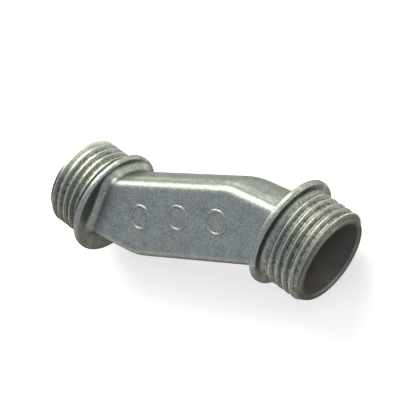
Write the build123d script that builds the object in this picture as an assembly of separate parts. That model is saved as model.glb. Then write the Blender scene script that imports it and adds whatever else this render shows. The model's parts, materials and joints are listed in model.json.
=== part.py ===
from build123d import *
from math import asin, atan2, cos, degrees, floor, hypot, radians, sin, sqrt, tan
import os

# Conduit offset nipple, half-inch trade size, one die casting. Millimetres.
# It is drawn about its own centre: X along the two thread axes, Z the way
# the ends are stepped, Y across the two flats. The last step lays it down.

# Driving dimensions
THREADS_PER_INCH = 14
OFFSET = 19.05
LENGTH = 65.0
CREST_R = 10.5
THREAD_DEPTH = 0.85
SPIGOT_WALL = 1.45
COLLAR_STEP = 1.65
COLLAR_T = 1.5
COLLAR_SPAN = 44.7
WALL = 1.7

# Shape of the body between the collars, and how far inside the crests it lies
SLANT = 28.46
TIP_SLOPE = 9.54
FLAT_SETBACK = 3.1
SLANT_SETBACK = 1.4
NECK_SETBACK = 3.5
CROWN = 1.45
BEND_R = 12.0

# Thread lands and run-outs. Each end has its own angle for the thread
CREST_LAND = 0.22
ROOT_LAND = 0.5
RELIEF = 0.05
RELIEF_BEVEL = 0.4
LEAD_BEVEL = 0.45
SUNK = 0.15
RIDGE_START = -0.2
RIGHT_THREAD_START = 138.0
LEFT_THREAD_START = 328.0

# Small radii and the throat between bore and duct
LIP_R = 0.55
FOOT_CLEARANCE = 0.1
EDGE_R = 2.2
DUCT_R = 1.0
NECK_FILLET_R = 1.5
RIM_R = 0.55
THROAT = 1.6

# Plain round beads on the front flat
MARK_R = 2.5
MARK_BEAD_R = 0.4
MARK_SUNK = 0.15
MARKS = [(-9.1, -4.6), (-0.4, 0.6), (8.7, 5.1)]

# Values that follow from the ones above
PITCH = 25.4 / THREADS_PER_INCH
ROOT_R = CREST_R - THREAD_DEPTH
MOUTH_R = ROOT_R - SPIGOT_WALL
FOOT_R = THREAD_DEPTH + FOOT_CLEARANCE
COLLAR_R = CREST_R + COLLAR_STEP
END_Z = OFFSET / 2
END_X = LENGTH / 2
COLLAR_OUT_X = COLLAR_SPAN / 2
COLLAR_IN_X = COLLAR_OUT_X - COLLAR_T
HALF_T = CREST_R - FLAT_SETBACK
SLANT_HALF_HEIGHT = CREST_R - SLANT_SETBACK
NECK_TOP = CREST_R - NECK_SETBACK
SPIGOT = END_X - COLLAR_OUT_X
THREAD_FROM = FOOT_R + RELIEF
THREAD_TO = SPIGOT - LIP_R - RELIEF
CROWN_R = (HALF_T ** 2 + CROWN ** 2) / (2 * CROWN)
RISE = tan(radians(SLANT))
TIP_RISE = tan(radians(TIP_SLOPE))
UPWARD = (Align.CENTER, Align.CENTER, Align.MIN)


def bend_point(inset):
    """Where the slanted top line meets the shallower one by the collar."""
    z_slant = (SLANT_HALF_HEIGHT - inset) / cos(radians(SLANT))
    z_tip = END_Z + NECK_TOP - inset / cos(radians(TIP_SLOPE)) - TIP_RISE * COLLAR_IN_X
    x = (z_tip - z_slant) / (RISE - TIP_RISE)
    return x, z_slant + RISE * x


def top_corners(inset, reach):
    """The body's highest line as three points, from end to end."""
    x, z = bend_point(inset)
    left = z - (x + reach) * RISE
    right = z + (reach - x) * TIP_RISE
    return [(-reach, left), (x, z), (reach, right)]


def crown_cutter(inset):
    """What is taken off the top: a block with a hollow underside, swept."""
    half = HALF_T - inset
    crown_r = CROWN_R - inset
    points = [(x, 0, z) for x, z in top_corners(inset, END_X)]
    path = FilletPolyline(*points, radius=BEND_R - inset)
    wide = half + 2
    drop = crown_r - sqrt(crown_r ** 2 - wide ** 2)
    arc = ThreePointArc((-wide, -drop), (0, 0), (wide, -drop))
    lid = Polyline((wide, -drop), (wide, 8), (-wide, 8), (-wide, -drop))
    across = Plane(origin=path @ 0, x_dir=(0, 1, 0), z_dir=path % 0)
    return sweep(across * make_face([arc, lid]), path=path)


def crowned_prism(inset, reach, edge_r):
    """The offset body's form: two flats joined by a crowned top and bottom."""
    half = HALF_T - inset
    corners = top_corners(inset - 2, reach)
    outline = corners + [(-x, -z) for x, z in corners]
    side = Plane.XZ * make_face(Polyline(*outline, close=True))
    block = extrude(side, amount=half, both=True)
    cutter = crown_cutter(inset)
    prism = block - cutter - cutter.rotate(Axis.Y, 180)
    long_edges = [
        edge
        for edge in prism.edges()
        if abs(abs(edge.center().Y) - half) < 0.001
        and abs(abs(edge.center().X) - reach) > 0.5
    ]
    return fillet(long_edges, edge_r)


def thread_trimmer(start, away, bevel):
    """What leaves a bevelled thread end at Z = start, cut off on one side."""
    steep = bevel / THREAD_DEPTH * -away
    inner = ROOT_R - 2 * SUNK
    outer = CREST_R + 1
    profile = Polyline(
        (inner, start + away * 3),
        (outer, start + away * 3),
        (outer, start + steep * (outer - ROOT_R)),
        (inner, start + steep * (inner - ROOT_R)),
        close=True,
    )
    return revolve(Plane.XZ * make_face(profile), Axis.Z)


def thread(start):
    """One right-hand ridge, bevelled at both ends, its foot in the core."""
    flank = (PITCH - CREST_LAND - ROOT_LAND) / 2
    crest = CREST_LAND / 2
    foot = crest + flank * (THREAD_DEPTH + SUNK) / THREAD_DEPTH
    profile = Polyline(
        (ROOT_R - SUNK, RIDGE_START - foot),
        (ROOT_R - SUNK, RIDGE_START + foot),
        (CREST_R, RIDGE_START + crest),
        (CREST_R, RIDGE_START - crest),
        close=True,
    )
    wound = SPIGOT - RIDGE_START + foot
    path = Helix(PITCH, wound, CREST_R, center=(0, 0, RIDGE_START))
    ridge = sweep(Plane.XZ * make_face(profile), path=path, is_frenet=True)
    ridge = ridge - thread_trimmer(THREAD_FROM, -1, RELIEF_BEVEL)
    ridge = ridge - thread_trimmer(THREAD_TO, 1, LEAD_BEVEL)
    return ridge.rotate(Axis.Z, start)


def circle_at(height, shape):
    """The edge round the core of an end where another face meets it."""
    return [
        edge
        for edge in shape.edges().filter_by(GeomType.CIRCLE)
        if abs(edge.arc_center.Z - height) < 0.001 and abs(edge.radius - ROOT_R) < 0.001
    ]


def threaded_end(start):
    """Spigot, thread and collar, the collar's outer face at Z = 0."""
    core = Pos(0, 0, -COLLAR_T) * Cylinder(ROOT_R, COLLAR_T + SPIGOT, align=UPWARD)
    spigot = core + thread(start)
    spigot = fillet(circle_at(SPIGOT, spigot), LIP_R)
    disc = Cylinder(COLLAR_R, COLLAR_T, align=(Align.CENTER, Align.CENTER, Align.MAX))
    end = spigot + fillet(disc.edges().filter_by(GeomType.CIRCLE), RIM_R)
    return fillet(circle_at(0, end), FOOT_R)


def bore():
    """The round passage of one end, flared at the lip, and the cone inside."""
    flare_r = MOUTH_R + LIP_R
    flare = JernArc((flare_r, SPIGOT), (-1, 0), LIP_R, 90)
    sides = Polyline(
        flare @ 1,
        (MOUTH_R, 0),
        (MOUTH_R - THROAT, -THROAT),
        (0, -THROAT),
        (0, SPIGOT + 1),
        (flare_r, SPIGOT + 1),
        flare @ 0,
    )
    return revolve(Plane.XZ * make_face([flare, sides]), Axis.Z)


def both_ends(shape):
    """Set a Z-up end on the right collar and its twin, half a turn round."""
    right = Pos(COLLAR_OUT_X, 0, END_Z) * Rot(0, 90, 0) * shape
    return right, right.rotate(Axis.Y, 180)


def neck_edges(casting):
    """The loops where the body runs into the inner face of each collar."""
    found = []
    for edge in casting.edges():
        on_face = all(
            abs(abs(vertex.X) - COLLAR_IN_X) < 0.001 for vertex in edge.vertices()
        )
        middle = edge @ 0.5
        if not on_face or abs(abs(middle.X) - COLLAR_IN_X) > 0.001:
            continue
        from_axis = sqrt(middle.Y ** 2 + (abs(middle.Z) - END_Z) ** 2)
        if from_axis < COLLAR_R - RIM_R - 0.2:
            found.append(edge)
    return found


def lie_on(crest):
    """The bench's own direction when it touches both collars and this crest."""
    mid_x = COLLAR_OUT_X - COLLAR_T / 2
    along = crest + RIM_R
    gap = COLLAR_R - RIM_R - CREST_R
    dip = sin(atan2(gap, along) + asin(RIM_R / hypot(gap, along)))
    down = min(dip * mid_x / END_Z, sqrt(1 - dip ** 2))
    return dip, sqrt(max(0, 1 - dip ** 2 - down ** 2)), down


def last_crest_at(angle):
    """Outer edge of the last full crest, at an angle round the spigot."""
    turned = (angle - RIGHT_THREAD_START) / 360
    first = RIDGE_START + CREST_LAND / 2 + PITCH * turned
    room = THREAD_TO - LEAD_BEVEL - first
    return first + PITCH * floor(room / PITCH)


# The body and its two ends, blended where they meet
body = crowned_prism(0, COLLAR_IN_X + COLLAR_T / 2, EDGE_R)
right_end = both_ends(threaded_end(RIGHT_THREAD_START))[0]
left_end = both_ends(threaded_end(LEFT_THREAD_START))[1]
casting = body + right_end + left_end
casting = fillet(neck_edges(casting), NECK_FILLET_R)

# The way through: a round bore from each mouth and the slanted duct between
duct = crowned_prism(WALL, COLLAR_IN_X + COLLAR_T / 2, DUCT_R)
casting = casting - duct
for cut in both_ends(bore()):
    casting = casting - cut

# Low plain rings stand on the front flat
for x, z in MARKS:
    ring = Rot(90, 0, 0) * Torus(MARK_R, MARK_BEAD_R)
    casting = casting + Pos(x, MARK_SUNK - HALF_T, z) * ring

# At rest both collar rims and the last crest of one thread touch the bench
last_crest = THREAD_TO - LEAD_BEVEL
for _ in range(4):
    dip, across, down = lie_on(last_crest)
    last_crest = last_crest_at(degrees(atan2(across, down)))
up = Vector(-dip, -across, down)
along = (Vector(1, 0, 0) - up * up.X).normalized()
laid = Plane(origin=(0, 0, 0), x_dir=along, z_dir=up).to_local_coords(casting)
box = laid.bounding_box()
laid = Pos(-box.center().X, -box.center().Y, -box.min.Z) * laid

os.makedirs("parts", exist_ok=True)
export_step(laid, "parts/nipple_body.step")
print("volume", round(laid.volume), "valid", laid.is_valid)
print("box", laid.bounding_box())
print("own X and Z at rest", along, up, "own centre is at height", -box.min.Z)
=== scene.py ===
# %% [markdown]
# # A die-cast conduit offset nipple
#
# The object is one zinc casting: two threaded ends on stepped axes, a collar
# on each, and a slanted hollow body between them. It joins two electrical
# boxes whose holes don't line up. The shape could be modelled again here, but
# the CAD model already has all of it, down to the fillets and the threads. So
# this script loads it, gives it the finish of raw die-cast metal, and sets up
# the floor, the light and the camera.

# %% Load the packed casting
import json

import bpy
from mathutils import Matrix, Vector

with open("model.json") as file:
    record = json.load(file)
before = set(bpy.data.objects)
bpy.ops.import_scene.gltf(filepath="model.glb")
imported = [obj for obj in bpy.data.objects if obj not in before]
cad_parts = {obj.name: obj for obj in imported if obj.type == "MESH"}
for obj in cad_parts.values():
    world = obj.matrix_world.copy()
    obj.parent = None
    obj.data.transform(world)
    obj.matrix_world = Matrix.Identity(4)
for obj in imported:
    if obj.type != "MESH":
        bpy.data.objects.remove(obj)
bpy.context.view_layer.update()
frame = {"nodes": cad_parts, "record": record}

casting = frame["nodes"]["nipple_body"]
MM = 0.001
print("nodes", sorted(frame["nodes"]), "faces", len(casting.data.polygons))

# %% [markdown]
# ## Camera
#
# A camera could be aimed by eye and nudged. This one stands where a fit of the
# casting's outlines to the photograph put it, which also fixes its lens and
# its roll. It looks down steeply and is rolled, because the casting was
# balanced on one end there and lies on the bench here. A long lens gives the
# photograph's weak perspective. The three directions are the camera's own
# right, up and back, and together they make its rotation.

# %% Place the camera
CAMERA_AT = Vector((0.177497, 0.01585, 0.240832))
CAMERA_RIGHT = Vector((0.63627, 0.55959, -0.53104))
CAMERA_UP = Vector((-0.46299, 0.8276, 0.31737))
CAMERA_BACK = Vector((0.61709, 0.04393, 0.78566))
SENSOR_MM = 36.0
FOCAL_PIXELS = 1355.39
FRAME_PIXELS = 400

lens = bpy.data.cameras.new("camera")
lens.sensor_width = SENSOR_MM
lens.lens = FOCAL_PIXELS * SENSOR_MM / FRAME_PIXELS
lens.clip_start = 0.01
camera = bpy.data.objects.new("camera", lens)
turn = Matrix((CAMERA_RIGHT, CAMERA_UP, CAMERA_BACK)).transposed()
camera.matrix_world = Matrix.Translation(CAMERA_AT) @ turn.to_4x4()
bpy.context.scene.collection.objects.link(camera)
bpy.context.scene.camera = camera
print("lens", round(lens.lens, 1), "mm, from", [round(v, 3) for v in CAMERA_AT])

# %% [markdown]
# ## Shader sums in plain Python
#
# A shader tree could be drawn by hand, node by node, but the sums in it read
# better as sums. The class below wraps one output socket. Python's operators
# on it add Math nodes, also where the plain number stands on the left, and its
# `node` method adds any other node: its settings first, then its sockets.


# %% A socket that works in sums
class Wire:
    """One output socket of a material, to be used in Python sums."""

    def __init__(self, tree, socket=None):
        self.tree = tree
        self.socket = socket

    def node(self, kind, settings=None, inputs=None, output=0):
        made = self.tree.nodes.new("ShaderNode" + kind)
        for name, value in (settings or {}).items():
            setattr(made, name, value)
        for name, value in (inputs or {}).items():
            if isinstance(value, Wire):
                self.tree.links.new(value.socket, made.inputs[name])
            else:
                made.inputs[name].default_value = value
        return Wire(self.tree, made.outputs[output])

    def math(self, operation, first, second):
        settings = {"operation": operation}
        return self.node("Math", settings, {0: first, 1: second})

    def __add__(self, other):
        return self.math("ADD", self, other)

    def __radd__(self, other):
        return self.math("ADD", other, self)

    def __sub__(self, other):
        return self.math("SUBTRACT", self, other)

    def __rsub__(self, other):
        return self.math("SUBTRACT", other, self)

    def __mul__(self, other):
        return self.math("MULTIPLY", self, other)

    def __rmul__(self, other):
        return self.math("MULTIPLY", other, self)


print("operators ready:", [name for name in vars(Wire) if name.startswith("__r")])

# %% [markdown]
# ## Small helpers for masks and colours
#
# A mask is a number from 0 to 1 over the surface. It can come from a noise
# with its soft middle stretched, from a distance, or from how closed in a
# point is. Colours are blended by a Mix node and directions compared by a
# Vector Math node, because a Math node would keep only one number of them.

# %% Helpers for masks and colours
MIX_A, MIX_B, MIX_COLOUR_OUT = 6, 7, 2


def blend(factor, first, second):
    """The first colour where the factor is 0, the second where it is 1."""
    settings = {"data_type": "RGBA", "clamp_factor": True}
    inputs = {0: factor, MIX_A: first, MIX_B: second}
    return factor.node("Mix", settings, inputs, MIX_COLOUR_OUT)


def stretch(value, low, high):
    """0 up to low, 1 from high, and a smooth way between."""
    settings = {"interpolation_type": "SMOOTHSTEP"}
    inputs = {"Value": value, "From Min": low, "From Max": high}
    return value.node("MapRange", settings, inputs)


def noise(place, size_mm, detail=3.0, roughness=0.55):
    """A cloudy pattern whose blotches are about size_mm wide."""
    inputs = {
        "Vector": place,
        "Scale": 1 / (size_mm * MM),
        "Detail": detail,
        "Roughness": roughness,
    }
    return place.node("TexNoise", None, inputs)


def pulled(place, scale):
    """The same place with some directions shrunk, which pulls a noise long."""
    return place.node("VectorMath", {"operation": "MULTIPLY"}, {0: place, 1: scale})


def facing_value(vector, side):
    """How far a vector reaches towards a fixed side."""
    settings = {"operation": "DOT_PRODUCT"}
    return vector.node("VectorMath", settings, {0: vector, 1: side}, "Value")


def away_from(place, point):
    """The way from a fixed point to a place."""
    return place.node("VectorMath", {"operation": "SUBTRACT"}, {0: place, 1: point})


def grey(red, green, blue):
    return (red, green, blue, 1.0)


def new_material(name):
    """An empty material, its output node and a loose wire to start from."""
    material = bpy.data.materials.new(name)
    material.use_nodes = True
    tree = material.node_tree
    tree.nodes.clear()
    output = tree.nodes.new("ShaderNodeOutputMaterial")
    return material, output, Wire(tree)


print("a 2 mm noise has scale", 1 / (2 * MM))

# %% [markdown]
# ## Where the two ends are
#
# Here the inside of each end is painted dark as shade and is rougher, and its
# tip, past the last crest, is painted darker than the thread as shade. The
# inside could have a material of its own, but that
# would need the casting's faces sorted by hand. It is simpler when the finish
# knows where the bores run. The record holds a point and a direction for each
# bore, and a little vector maths turns them into a distance from the axis and
# a depth along it.

# %% Read the two bores from the record
bores = [mount for mount in frame["record"]["mounts"] if mount["kind"] == "bore"]
MOUTH_R = bores[0]["dims"]["r_mm"] * MM
for bore in bores:
    print(bore["name"], bore["pos_m"], bore["axis"])


def radius_about(place, bore):
    """How far a point of the surface is from the bore's axis."""
    sides = {0: away_from(place, tuple(bore["pos_m"])), 1: tuple(bore["axis"])}
    across = place.node("VectorMath", {"operation": "CROSS_PRODUCT"}, sides)
    return place.node("VectorMath", {"operation": "LENGTH"}, {0: across}, "Value")


def depth_along(place, bore):
    """How far out along the bore's axis a point is, from the bore's middle."""
    return facing_value(away_from(place, tuple(bore["pos_m"])), tuple(bore["axis"]))


# %% [markdown]
# ## Raw die-cast zinc
#
# Zinc leaves the die satin and slightly green-grey, and a real fitting has
# rubbed against others of its kind. A photograph of such metal could be
# wrapped round it, but that stretches and shows seams. Here the pattern comes
# from noises that fill space, so it has the same scale on every face. There is
# a clean and a dull grey, a bright one for what handling polishes and for
# painted highlights, a dark brown for dirt and for painted shade, a yellowish
# film between the threads, a brown painted shade for the inside and a darker
# one for its most enclosed parts. The last colour is how much the metal
# reflects when it is seen at a low angle. Sides are directions in the scene.

# %% Colours of the casting
ZINC_CLEAN = grey(0.33, 0.36, 0.325)
ZINC_DULL = grey(0.185, 0.203, 0.188)
ZINC_WORN_AND_HIGHLIGHT = grey(0.78, 0.81, 0.71)
DIRT_AND_SHADE = grey(0.075, 0.07, 0.052)
FILM = grey(0.60, 0.58, 0.46)
INSIDE_SHADE = grey(0.32, 0.3, 0.274)
DEEP_INSIDE_SHADE = grey(0.12, 0.11, 0.1)
GRAZING = grey(0.36, 0.36, 0.36)
EDGE_MM = 0.1
DRAWN = (0.15, 1.0, 1.0)
SMEARED = (0.4, 1.0, 1.0)
# The next two sides point at the painted highlight patch and at the side painted darker as
# shade.
HIGHLIGHT_PATCH_SIDE = (0.128, 0.691, 0.711)
SHADED_SIDE = (0.6, -0.66, -0.45)
RAISED_SIDE = (-1.0, 0.0, 0.0)
ACROSS_FLATS = (-0.1624, 0.4104, -0.8973)
CENTRE = (0.0, 0.0, 0.012)
EDGE_REACH_MM = 0.32
CREASE_REACH_MM = 0.45
THREAD_REACH_MM = 1.1
CORNER_REACH_MM = 3.5
PASSAGE_REACH_MM = 20.0
RAISED_FROM_MM = 10
RAISED_TO_MM = 26
print("clean zinc reflects", ZINC_CLEAN[:3], "and worn zinc", ZINC_WORN_AND_HIGHLIGHT[:3])

# %% [markdown]
# ## Where the metal is worn or dirty, and where light and shade are painted
#
# Crests and edges are polished, and dirt with painted shade stays between the
# threads. Painted shade lies at the foot of the collars and round the three low
# rings. Such places could be painted by hand. Ambient Occlusion finds them by
# itself: looked at from outside it tells how closed in a point is, and from
# inside how near an edge it is. It looks at the casting alone, so the floor
# darkens nothing. The other masks are places worked out from a distance or a
# direction: the tips past the last crest and the passage, both painted dark as
# shade, a side painted darker as shade, the raised end, which sets how strong
# the dirt and painted shade are, and three painted highlights: two bands along
# the whole length and one patch on the thread by the raised end's tip.


# %% Masks for wear, dirt and the inside
def open_sky(start, reach_mm, inside=False):
    """How freely a point sees out within a reach, 1 where nothing is near."""
    settings = {"samples": 8, "inside": inside, "only_local": True}
    return start.node("AmbientOcclusion", settings, {"Distance": reach_mm * MM}, "AO")


def worn_mask(start, nicks):
    """Edges and thread crests, broken up by nicks."""
    return stretch(1 - open_sky(start, EDGE_REACH_MM, inside=True), 0.18, 0.4) * nicks


def shaded_tip_mask(start, place):
    """The end of each spigot past its last crest, painted darker as shade."""
    depth = start.math("MAXIMUM", *[depth_along(place, bore) for bore in bores])
    return stretch(depth, 4.3 * MM, 4.5 * MM)


def shaded_side_mask(start):
    """The side painted darker as shade, facing the bench and the front."""
    normal = start.node("NewGeometry", None, None, "Normal")
    return stretch(facing_value(normal, SHADED_SIDE), 0.25, 0.85)


def raised_mask(place):
    """0 at the dipping end, growing to 1 at the raised end."""
    return stretch(facing_value(place, RAISED_SIDE), RAISED_FROM_MM * MM, RAISED_TO_MM * MM)


def inside_mask(start, place, enclosed):
    """The passage, painted dark as shade: near a bore's axis, at its own end, and closed in."""
    in_one = []
    for bore in bores:
        near_axis = 1 - stretch(radius_about(place, bore), MOUTH_R * 1.005, MOUTH_R * 1.02)
        at_end = stretch(depth_along(place, bore), -8 * MM, -7 * MM)
        in_one.append(near_axis * at_end)
    in_bore = start.math("MAXIMUM", *in_one)
    return in_bore * stretch(enclosed, 0.25, 0.6)


def highlight_band_mask(place):
    """Two bands of painted highlight along the whole casting, beside the long edges."""
    across = facing_value(away_from(place, CENTRE), ACROSS_FLATS)
    away = across.math("ABSOLUTE", across, 0.0)
    return stretch(away, 3.4 * MM, 4.6 * MM) * (1 - stretch(away, 5.0 * MM, 6.0 * MM))


def highlight_patch_mask(place):
    """A painted highlight patch on the thread by the raised end's tip."""
    bore = next(bore for bore in bores if bore["name"] == "left_bore")
    height = facing_value(away_from(place, tuple(bore["pos_m"])), HIGHLIGHT_PATCH_SIDE)
    along = stretch(depth_along(place, bore), 2.2 * MM, 3.0 * MM)
    return along * stretch(height, 5.5 * MM, 8.5 * MM)


print("masks ready, the mouths are", round(MOUTH_R / MM, 1), "mm in radius")

# %% [markdown]
# ## The finish, layer by layer
#
# The skin is mottled at two scales, streaked and finely specked. Film, and dirt
# with painted shade, lie between the threads, in smears along the casting. Then
# come painted shade in the corners, on the tips and in the creases, dirt and
# painted shade in the thread roots, bright crests and edges with nicks in them,
# painted shade on one side, three painted highlights and painted shade inside
# the passage. The same patterns make a low relief for the Bump node. The Bevel
# node under it turns the normal a little at every edge, which gives the soft
# bright line of a cast edge.


# %% The casting's finish
def cast_zinc():
    material, output, start = new_material("cast_zinc")
    place = start.node("TexCoord", None, None, "Object")

    blotches = noise(place, 2.4)
    grain = noise(place, 0.35, 4.0, 0.7)
    specks = noise(place, 0.3, 1.0, 0.5)
    crumbs = noise(pulled(place, SMEARED), 0.6, 2.0, 0.6)
    streaks = noise(pulled(place, DRAWN), 0.6)

    dull = stretch(blotches * 0.2 + grain * 0.65 + streaks * 0.15, 0.38, 0.62)
    nicks = stretch(grain * 0.5 + crumbs * 0.5, 0.4, 0.52)
    worn = worn_mask(start, nicks)
    closed_in = 1 - open_sky(start, THREAD_REACH_MM)
    root = stretch(closed_in, 0.2, 0.6)
    flank = stretch(closed_in, 0.08, 0.3)
    corner_shade = stretch(1 - open_sky(start, CORNER_REACH_MM), 0.25, 0.75)
    # Painted shade in tight creases, such as round the three low rings.
    crease_shade = stretch(1 - open_sky(start, CREASE_REACH_MM), 0.08, 0.32)
    groove_dirt_and_shade = start.math("MAXIMUM", root * stretch(grain * 0.5 + crumbs * 0.5, 0.38, 0.58), crease_shade)
    tip = shaded_tip_mask(start, place)
    shaded_side = shaded_side_mask(start)
    raised = raised_mask(place)
    highlight_bands = highlight_band_mask(place)
    enclosed = 1 - open_sky(start, PASSAGE_REACH_MM)
    inside = inside_mask(start, place, enclosed)
    deep = stretch(enclosed, 0.72, 0.9)
    highlight_patch = highlight_patch_mask(place)

    skin = blend(dull, ZINC_CLEAN, ZINC_DULL)
    skin = blend(stretch(specks, 0.6, 0.68) * 0.3, skin, ZINC_WORN_AND_HIGHLIGHT)
    skin = blend(flank * stretch(crumbs, 0.46, 0.6) * 0.75, skin, FILM)
    # Dirt and painted shade on the thread flanks, weaker towards the raised end.
    skin = blend(flank * stretch(1 - crumbs, 0.48, 0.62) * (0.5 - raised * 0.3), skin, DIRT_AND_SHADE)
    # Painted highlight: two light bands along the casting beside the long edges.
    skin = blend(highlight_bands * stretch(streaks, 0.35, 0.65) * 0.4, skin, ZINC_WORN_AND_HIGHLIGHT)
    # Painted shade in the corners, stronger towards the raised end.
    skin = blend(corner_shade * (0.3 + raised * 0.15), skin, DIRT_AND_SHADE)
    # Painted shade on the tips past the last crest.
    skin = blend(tip * 0.7, skin, DIRT_AND_SHADE)
    # Dirt and painted shade in the thread roots, and painted shade in the creases.
    skin = blend(groove_dirt_and_shade * (0.55 - raised * 0.25), skin, DIRT_AND_SHADE)
    skin = blend(worn * (1 - tip * 0.7) * 0.9, skin, ZINC_WORN_AND_HIGHLIGHT)
    # Painted shade on the side facing the bench and the front, stronger towards the raised end.
    skin = blend(shaded_side * (0.5 + raised * 0.35), skin, DIRT_AND_SHADE)
    # Painted highlight: a bright patch on the thread by the raised end's tip.
    skin = blend(highlight_patch * 0.4, skin, ZINC_WORN_AND_HIGHLIGHT)
    # Painted shade inside the passage, darkest where it is most enclosed.
    skin = blend(inside, skin, INSIDE_SHADE)
    skin = blend(deep, skin, DEEP_INSIDE_SHADE)

    rough = 0.34 + dull * 0.1 + flank * 0.15 - worn * 0.08 + inside * 0.18
    height = blotches * 0.018 + grain * 0.012 + specks * 0.004 + crumbs * flank * 0.09
    soft_edge = start.node("Bevel", {"samples": 6}, {"Radius": EDGE_MM * MM})
    bump = start.node(
        "Bump", None, {"Strength": 0.6, "Distance": MM, "Height": height, "Normal": soft_edge}
    )
    shader = start.node(
        "BsdfPrincipled",
        None,
        {
            "Base Color": skin,
            "Metallic": 1.0,
            "Roughness": rough,
            "Specular Tint": GRAZING,
            "Normal": bump,
        },
    )
    start.tree.links.new(shader.socket, output.inputs["Surface"])
    return material


zinc = cast_zinc()
print("cast_zinc has", len(zinc.node_tree.nodes), "nodes")

# %% Give the casting its finish
for slot in casting.material_slots:
    slot.material = zinc
print("slots on the casting:", [slot.material.name for slot in casting.material_slots])

# %% [markdown]
# ## Floor and background
#
# The photograph's background is white. More light would give that too, but it
# would bleach the metal. So the casting lies on a wide pale floor that looks a
# little brighter to the camera, and in the metal's reflections, than it is lit.
# It comes out white but keeps the shadow. The world beyond it is white to the
# camera and an even light for the floor. In reflections it also has a dimmer,
# bluish side, as a studio has behind the camera, and the flats of the body
# show that side as their cool grey.

# %% Floor and world
FLOOR_HALF = 1.5
FLOOR_COLOUR = grey(0.7, 0.7, 0.7)
FLOOR_LIFT = 0.46
WORLD_LIGHT = 0.8
ROOM_SIDE = Vector((0.5, -0.75, 0.43)).normalized()
ROOM_GREY = grey(0.66, 0.685, 0.80)


def seen_mask(start):
    """1 for rays from the camera and in reflections and refractions."""
    camera_ray = start.node("LightPath", None, None, "Is Camera Ray")
    glossy_ray = start.node("LightPath", None, None, "Is Glossy Ray")
    clear_ray = start.node("LightPath", None, None, "Is Transmission Ray")
    either = start.math("MAXIMUM", camera_ray, glossy_ray)
    return start.math("MAXIMUM", either, clear_ray)


def floor_material():
    material, output, start = new_material("pale_floor")
    seen = seen_mask(start)
    shader = start.node(
        "BsdfPrincipled",
        None,
        {
            "Base Color": FLOOR_COLOUR,
            "Roughness": 0.9,
            "Emission Color": blend(seen, grey(0, 0, 0), grey(1, 1, 1)),
            "Emission Strength": FLOOR_LIFT,
        },
    )
    start.tree.links.new(shader.socket, output.inputs["Surface"])
    return material


corners = [(-1, -1), (1, -1), (1, 1), (-1, 1)]
floor_mesh = bpy.data.meshes.new("floor")
points = [(x * FLOOR_HALF, y * FLOOR_HALF, 0) for x, y in corners]
floor_mesh.from_pydata(points, [], [(0, 1, 2, 3)])
floor_mesh.materials.append(floor_material())
floor = bpy.data.objects.new("floor", floor_mesh)
bpy.context.scene.collection.objects.link(floor)
print("floor", 2 * FLOOR_HALF, "m square")

world = bpy.data.worlds.new("studio")
world.use_nodes = True
world.node_tree.nodes.clear()
world_start = Wire(world.node_tree)
world_out = world.node_tree.nodes.new("ShaderNodeOutputWorld")
compass = world_start.node("TexCoord", None, None, "Generated")
is_room = stretch(facing_value(compass, tuple(ROOM_SIDE)), -0.1, 0.6)
room_colour = blend(is_room, grey(1, 1, 1), ROOM_GREY)
by_eye = world_start.node("LightPath", None, None, "Is Camera Ray")
seen_colour = blend(by_eye, room_colour, grey(1, 1, 1))
plain = world_start.node("Background", None, {"Color": grey(1, 1, 1), "Strength": WORLD_LIGHT})
white = world_start.node("Background", None, {"Color": seen_colour, "Strength": 1.0})
sky = world_start.node("MixShader", None, {0: seen_mask(world_start), 1: plain, 2: white})
world.node_tree.links.new(sky.socket, world_out.inputs["Surface"])
bpy.context.scene.world = world
print("world light", WORLD_LIGHT)

# %% [markdown]
# ## Studio light
#
# Metal shows its lamps more than their light, so their size and place matter
# most. A point lamp would leave hard sparks. One broad, slightly warm softbox
# stands to the upper left of the picture and gives the bright lines along the
# edges, the collars and the crests. A weaker one fills from the camera's side.
# Each is aimed at the casting.

# %% Two softboxes
KEY_WATTS = 3.5
FILL_WATTS = 0.2
KEY_COLOUR = (1.0, 0.98, 0.88)
TARGET = Vector((0, 0, 0.012))


def softbox(name, towards, distance, width, height, watts):
    """An area lamp that stands off the casting and faces it."""
    lamp = bpy.data.lights.new(name, "AREA")
    lamp.shape = "ELLIPSE"
    lamp.size = width
    lamp.size_y = height
    lamp.energy = watts
    holder = bpy.data.objects.new(name, lamp)
    away = towards.normalized()
    spin = away.to_track_quat("Z", "Y").to_matrix().to_4x4()
    holder.matrix_world = Matrix.Translation(TARGET + away * distance) @ spin
    bpy.context.scene.collection.objects.link(holder)
    print(name, "from", [round(v, 2) for v in away], "at", distance, "m")
    return holder


key_side = CAMERA_UP * 0.85 - CAMERA_RIGHT * 0.45 + CAMERA_BACK * 0.15
fill_side = CAMERA_BACK + CAMERA_RIGHT * 0.5 + CAMERA_UP * 0.2
softbox("key_softbox", key_side, 0.5, 0.6, 0.42, KEY_WATTS).data.color = KEY_COLOUR
softbox("fill_softbox", fill_side, 0.6, 0.4, 0.4, FILL_WATTS)

# %% [markdown]
# ## Finish
#
# Standard view makes a colour come out as it is written.

# %% Colour view
bpy.context.scene.view_settings.view_transform = "Standard"
